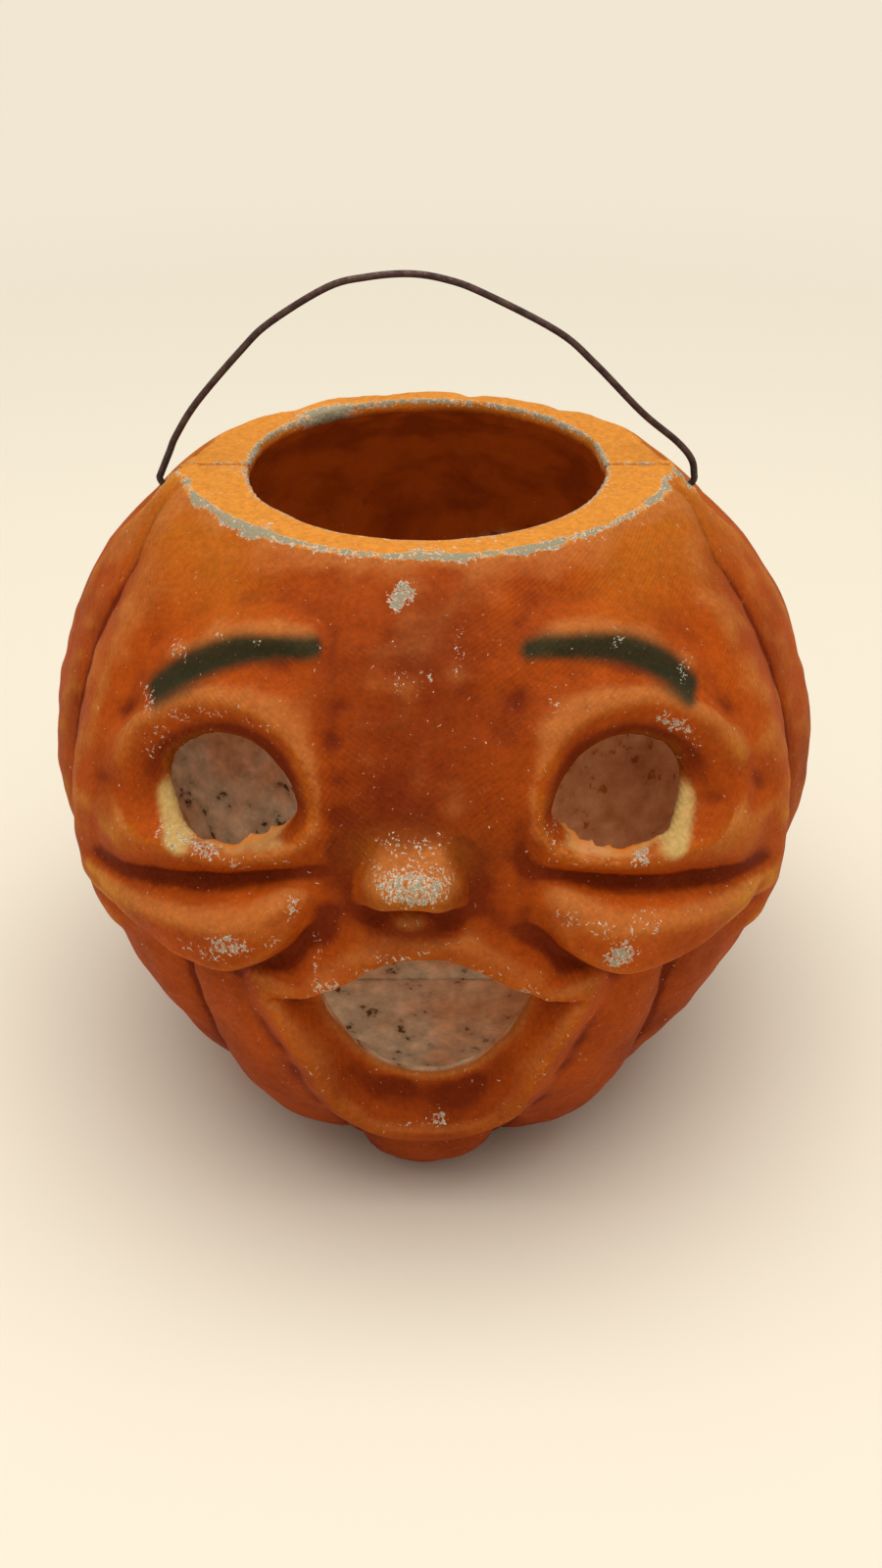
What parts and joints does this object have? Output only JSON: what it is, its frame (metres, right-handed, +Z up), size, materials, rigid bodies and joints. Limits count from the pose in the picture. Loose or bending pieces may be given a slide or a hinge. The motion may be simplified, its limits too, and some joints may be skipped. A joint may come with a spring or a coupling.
{
  "type": "paper mache jack-o-lantern",
  "caption": "Lobed pumpkin lantern of moulded paper pulp with a laughing face in relief, open eyes, mouth and top, and a swinging wire bail.",
  "frame": {"origin": "on the table under the middle of the object's bounding box", "axes": "+Z up, the face looks along -Y, +X is the viewer's right when the face is seen"},
  "size_m": [0.18, 0.1886, 0.1918],
  "materials": {
    "painted_pulp": "orange poster paint on moulded paper pulp",
    "gummed_paper": "gummed paper strip, painted over",
    "dark_wire": "oxidised plain steel wire"
  },
  "bodies": {
    "lantern_body": {"front_shell": "painted_pulp", "back_shell": "painted_pulp", "seam_strip_left": "gummed_paper", "seam_strip_right": "gummed_paper"},
    "bail": {"wire_bail": "dark_wire"}
  },
  "joints": [
    {"name": "bail_swing", "type": "hinge", "parent": "lantern_body", "child": "bail", "pos_m": [0, 0.00928, 0.1425], "axis": [1, 0, 0], "range_deg": [-60, 40]}
  ]
}
